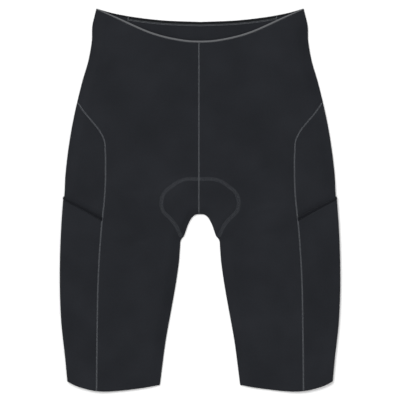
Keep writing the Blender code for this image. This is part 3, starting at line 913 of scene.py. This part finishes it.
# Pockets
# A second layer of knit over each side panel, from the slanted mouth to the hem, caught in both side seams. A
# black elastic binding runs along the mouth, with a narrow slot above it; its widening towards the front seam
# and its black are partly painted shade of the pocket's open mouth.
# The binding widens towards the front seam so that its black paints the shade in the pocket's mouth
BINDING_AT_FOLD = 3.2
BINDING_AND_SHADE_AT_SEAM = 6.0
BINDING_OVERLAP = 0.1
BINDING_BULGE = 0.45
BINDING_CHANNEL = 0.06
BINDING_CHANNELS = 4
BINDING_RIB = 1.0
# The binding's black is partly painted shade of the pocket's open mouth
BINDING_BLACK_AND_SHADE = (0.0028, 0.0034, 0.0054, 1.0)
BINDING_WORN = (0.0048, 0.0055, 0.0076, 1.0)


def binding_and_shade_width(column):
    """Width of a binding, which widens evenly from the fold to the front seam, partly as painted mouth shade.
    """
    return BINDING_AT_FOLD + (BINDING_AND_SHADE_AT_SEAM - BINDING_AT_FOLD) * np.clip(column, 0, 1)


binding_and_shade_finish = ribbed_finish(
    "black elastic binding and painted mouth shade", BINDING_BLACK_AND_SHADE, BINDING_WORN, BINDING_RIB, specular=0.07, sheen=0.02,
)
binding_line = mouth_line - binding_and_shade_width(around)
pocket_height = rows_between(binding_line - BINDING_OVERLAP, (hem_line, 112))
binding_height = rows_between(mouth_line, (binding_line, 16))
binding_share = np.linspace(0.0, 1.0, len(binding_height))[:, None]
swelling = BINDING_BULGE * (1 - np.abs(2 * binding_share - 1) ** 4)
swelling = swelling + BINDING_CHANNEL * np.cos(2 * np.pi * BINDING_CHANNELS * binding_share)
binding_depth = np.where(around > 0, -swelling, 0.0)
for wearer, side in SIDES:
    pocket, faces, cloth = side_sheet("side_pocket_" + wearer, pocket_height, side, knit)
    lay_cloth(pocket, "pocket_" + wearer)
    binding = side_sheet("pocket_elastic_and_shade_" + wearer, binding_height, side, binding_and_shade_finish, binding_depth)[0]
    sew_on(binding, pocket, "pocket_binding_" + wearer)

# Sewing
# Flat-lock seams of grey polyester thread hold the pieces together edge to edge: two rows of needle thread
# with looper threads that cross between them. Charcoal thread binds the closed edges and holds the bindings.
THREAD_RINGS = (0.09, 0.5, 0.91)
THREAD_SIDES = 5
THREAD = 0.17
FINE_THREAD = 0.12
STITCH_RISE = 0.10
BACK_RISE = 0.08
PAD_BACK_RISE = 0.02
PAD_THREAD = 0.15
SEAM_GAUGE = 1.6
SEAM_PITCH = 1.95
PAD_GAUGE = 4.6
PAD_PITCH = 2.3
PAD_SEAM_END = (28.3, -55.4)
TAPE_GAUGE = 1.7
TAPE_THREAD = 0.26
TAPE_SEAM_DROP = 5.2
TAPE_END_GAUGE = 1.2
TAPE_EDGE_REACH = 0.3
TAPE_EDGE_FALL = 0.8
WAIST_PITCH = 1.7
WAIST_SWING = 0.55
WAIST_SEAM_DROP = 0.5
WAIST_SEAM_END = 150.0
BINDING_PITCH = 2.2
BINDING_PROUD = 0.32
BINDING_RISE = 0.02
BINDING_SPAN = (-0.02, 0.985)
BINDING_ROWS = (0.14, 0.86)
OVEREDGE_PITCH = 1.6
OVEREDGE_REACH = 1.5
OVEREDGE_SLANT = 0.7
OVEREDGE_RISE = 0.06
OVEREDGE_END = 1.5
HIP_SEAM_START = 9.0
HIP_SEAM_END = 4.0
CENTRE_ENDS = (0.3, 0.6)
SEAM_START = 0.8
SEAM_END = 0.4
STEP = 0.05
GREY = (0.101, 0.108, 0.118, 1.0)
GREY_WORN = (0.123, 0.131, 0.143, 1.0)
SLATE = (0.054, 0.059, 0.067, 1.0)
SLATE_WORN = (0.068, 0.074, 0.084, 1.0)
CHARCOAL = (0.015, 0.0165, 0.019, 1.0)
CHARCOAL_WORN = (0.021, 0.023, 0.026, 1.0)
TWIST = 0.4


def thread_finish(name, colour, worn):
    """Twisted polyester thread: a fine slanted wave across it, and a fleck of a lighter colour."""
    finish, shader = new_finish(name, roughness=0.55, specular=0.2, sheen=0.2)
    place = node(finish, "ShaderNodeTexCoord").outputs["Object"]
    inputs = {"Vector": place, "Scale": 1 / (TWIST * MM) / WAVE_BANDS}
    plies = node(finish, "ShaderNodeTexWave", inputs, bands_direction="DIAGONAL").outputs["Fac"]
    set_inputs(finish, shader, {
        "Base Color": blend(finish, clouds(finish, place, 700.0), colour, worn),
        "Normal": relief(finish, plies, strength=0.6, depth=0.12),
    })
    return finish


def unit(vectors):
    """Vectors of the same direction and of length 1."""
    return vectors / np.linalg.norm(vectors, axis=-1, keepdims=True)


def threads(name, surface, starts, ends, radius, finish, cloth, rise=STITCH_RISE):
    """Stitches on a surface S, each a closed spindle from one hole to the next.

    Along a stitch, t goes from 0 to 1, the thread's middle is S(a + t (b - a)) + rise sin(pi t) N, with N the
    surface's normal, and its section is round, of radius r sin(pi t)^0.4.
    """
    share = np.array([0.0, *THREAD_RINGS, 1.0])
    places = starts[:, None] + share[:, None] * (ends - starts)[:, None]
    spine = surface(places)
    normal = unit(np.cross(surface(places + (STEP, 0)) - spine, surface(places + (0, STEP)) - spine))
    arch = np.sin(np.pi * share)[:, None]
    spine = spine + (rise * arch - radius / 2) * normal
    aside = unit(np.cross(np.gradient(spine, axis=1), normal))
    angle = np.linspace(0, 2 * np.pi, THREAD_SIDES, endpoint=False)[:, None]
    section = np.cos(angle) * aside[:, 1:-1, None] + np.sin(angle) * normal[:, 1:-1, None]
    body = spine[:, 1:-1, None] + radius * arch[1:-1, None] ** 0.4 * section
    points = np.concatenate([spine[:, :1], body.reshape(len(spine), -1, 3), spine[:, -1:]], axis=1)
    first = points.shape[1] * np.arange(len(points))
    faces = (first[:, None, None] + spindle_faces(len(THREAD_RINGS), THREAD_SIDES)).reshape(-1, 3)
    sew_on(add_piece(name, points, faces, finish), cloth)


def holes_along(line, pitch):
    """Needle holes at an even pitch along a line, and the unit vectors square to it there."""
    length = chord_lengths(line)
    middle = read_at(line, length, np.linspace(0.0, length[-1], int(round(length[-1] / pitch)) + 1))
    return middle, leftwards(middle)


def flatlock(line, gauge, pitch):
    """Four threads between each pair of holes: a needle thread on each side and two crossing loopers."""
    middle, square = holes_along(line, pitch)
    left, right = middle + square * gauge / 2, middle - square * gauge / 2
    starts = np.concatenate([left[:-1], right[:-1], left[:-1], right[:-1]])
    return starts, np.concatenate([left[1:], right[1:], right[1:], left[1:]])


def on_under(places):
    """Points of the outer face of the back, whose places are seen from below, so that x is turned round."""
    turned_round = places * (-1, 1)
    return raised(turned_round, under_height(turned_round))


grey_thread = thread_finish("grey thread", GREY, GREY_WORN)
slate_thread = thread_finish("slate thread", SLATE, SLATE_WORN)
charcoal_thread = thread_finish("charcoal thread", CHARCOAL, CHARCOAL_WORN)

# Centre-front seam, side seams of the fronts and of the back, and the line that holds the seat pad
centre_rows = np.linspace(smooth(front_top, 0.0) - CENTRE_ENDS[0], CROTCH + CENTRE_ENDS[1], 200)
centre_seam = flatlock(points_of(CENTRE_SEAM, centre_rows), SEAM_GAUGE, SEAM_PITCH)
threads("centre_front_seam_stitches", on_top, *centre_seam, THREAD, grey_thread, fronts["left"])
seam_rows = np.linspace(SIDE_TIP - SEAM_START, smooth(HEM, SIDE_SEAM[-1][1]) + SEAM_END, 500)
seam_line = points_of(smooth(SIDE_SEAM, seam_rows), seam_rows)
pad_seam = whole_curve(PAD_OUTLINE + [PAD_SEAM_END], 160)
for wearer, side in SIDES:
    front_seam = flatlock(seam_line * (side, 1), SEAM_GAUGE, SEAM_PITCH)
    back_seam = flatlock(seam_line * (-side, 1), SEAM_GAUGE, SEAM_PITCH)
    pad_holes = flatlock(pad_seam * (side, 1), PAD_GAUGE, PAD_PITCH)
    front = fronts[wearer]
    threads("front_side_seam_stitches_" + wearer, on_top, *front_seam, THREAD, grey_thread, front)
    threads("back_side_seam_stitches_" + wearer, on_under, *back_seam, FINE_THREAD, grey_thread, back,
            BACK_RISE)
    threads("seat_pad_stitches_" + wearer, on_top, *pad_holes, PAD_THREAD, slate_thread, front)
    threads("seat_pad_back_stitches_" + wearer, on_under, *pad_holes, FINE_THREAD, slate_thread, back,
            PAD_BACK_RISE)

# Line along the lower edge of the tape in the back, with a short row up across the tape at each end
tape_seam = edge_line(BACK_WAIST, np.linspace(*TAPE_ENDS, 240), TAPE_SEAM_DROP)


def on_tape(places):
    """Points of the tape's face, and of the back's inner face under its lower edge."""
    side = np.abs(places[..., 0])
    drop = (smooth(BACK_WAIST, side) - places[..., 1]) / np.hypot(1.0, slope_at(BACK_WAIST, side))
    on_face = ease((TAPE_DROP + TAPE_WIDTH + TAPE_EDGE_REACH - drop) / TAPE_EDGE_FALL)
    return raised(places, CLOTH + (TAPE_THICK + TAPE_CLEAR) * on_face)


tape_row = flatlock(tape_seam, TAPE_GAUGE, SEAM_PITCH)
threads("tape_stitches", on_tape, *tape_row, TAPE_THREAD, grey_thread, back)
for wearer, across in (("left", TAPE_ENDS[1] - TAPE_END_GAUGE), ("right", TAPE_ENDS[0] + TAPE_END_GAUGE)):
    tape_end = edge_line(BACK_WAIST, np.full(8, across), np.linspace(TAPE_DROP, TAPE_SEAM_DROP, 8))
    tape_row = flatlock(tape_end, TAPE_END_GAUGE, TAPE_END_GAUGE)
    threads("tape_end_stitches_" + wearer, on_tape, *tape_row, THREAD, grey_thread, back)

# Stitches along the lower edge of the waist's elastic, and along both edges of the pockets' bindings
waist_stations = np.linspace(-WAIST_SEAM_END, WAIST_SEAM_END, 400)
waist_rows = edge_line(FRONT_WAIST, waist_stations, elastic_width(waist_stations) + WAIST_SEAM_DROP)
waist_holes, waist_square = holes_along(waist_rows, WAIST_PITCH)
swing = np.where(np.arange(len(waist_holes)) % 2, WAIST_SWING, -WAIST_SWING)[:, None]
zigzag = waist_holes + swing * waist_square
threads("waist_elastic_stitches", on_top, zigzag[:-1], zigzag[1:], FINE_THREAD, slate_thread, fronts["left"],
        ELASTIC_PROUD)
binding_span = smooth(OUTER_FOLD, MOUTH_HEIGHT) - smooth(SIDE_SEAM, MOUTH_HEIGHT)
columns = np.linspace(*BINDING_SPAN, int(binding_span / BINDING_PITCH) + 1)
for wearer, side in SIDES:
    def on_binding(places, side=side):
        """Points of a binding's face, over places of cloth from the fold and height."""
        return sewn_side(places[..., 1], -side * places[..., 0] / binding_span, side, -BINDING_PROUD)[0]

    drops = np.array(BINDING_ROWS)[:, None] * binding_and_shade_width(columns)
    rows = points_of(-side * columns * binding_span, mouth(columns) - drops)
    threads("binding_stitches_" + wearer, on_binding, rows[:, :-1].reshape(-1, 2), rows[:, 1:].reshape(-1, 2),
            FINE_THREAD, charcoal_thread, bpy.data.objects["side_pocket_" + wearer], BINDING_RISE)

# Overedge stitches round the closed edges, from the crotch down the inner legs, and up the hips to the waist
hip_rows = np.linspace(SIDE_TIP + HIP_SEAM_START, OUTER_FOLD[0][0] - HIP_SEAM_END, 160)
closed_edges = {
    "inner_leg": whole_curve(INNER_LEG, 240),
    "hip": points_of(smooth(OUTER_FOLD, hip_rows), hip_rows),
}


def turned_edge(line, side):
    """A surface round a closed edge E, with N square to it: E + r (1 - cos a) N, at a height r + r sin a."""
    length, square = chord_lengths(line), leftwards(line)

    def surface(places):
        station, angle = side * places[..., 0], places[..., 1] / TURN
        inwards = (TURN * (1 - np.cos(angle)))[..., None] * read_at(square, length, station)
        plan = read_at(line, length, station) + inwards
        return raised(plan, TURN + TURN * np.sin(angle)) * (side, 1, 1)

    return surface


for wearer, side in SIDES:
    for edge_name, line in closed_edges.items():
        stations = side * np.arange(OVEREDGE_END, chord_lengths(line)[-1] - OVEREDGE_END, OVEREDGE_PITCH)
        lower = points_of(stations, -OVEREDGE_REACH)
        upper = lower + (side * OVEREDGE_SLANT, 2 * OVEREDGE_REACH)
        threads(edge_name + "_stitches_" + wearer, turned_edge(line, side), lower, upper, FINE_THREAD,
                charcoal_thread, fronts[wearer], OVEREDGE_RISE)
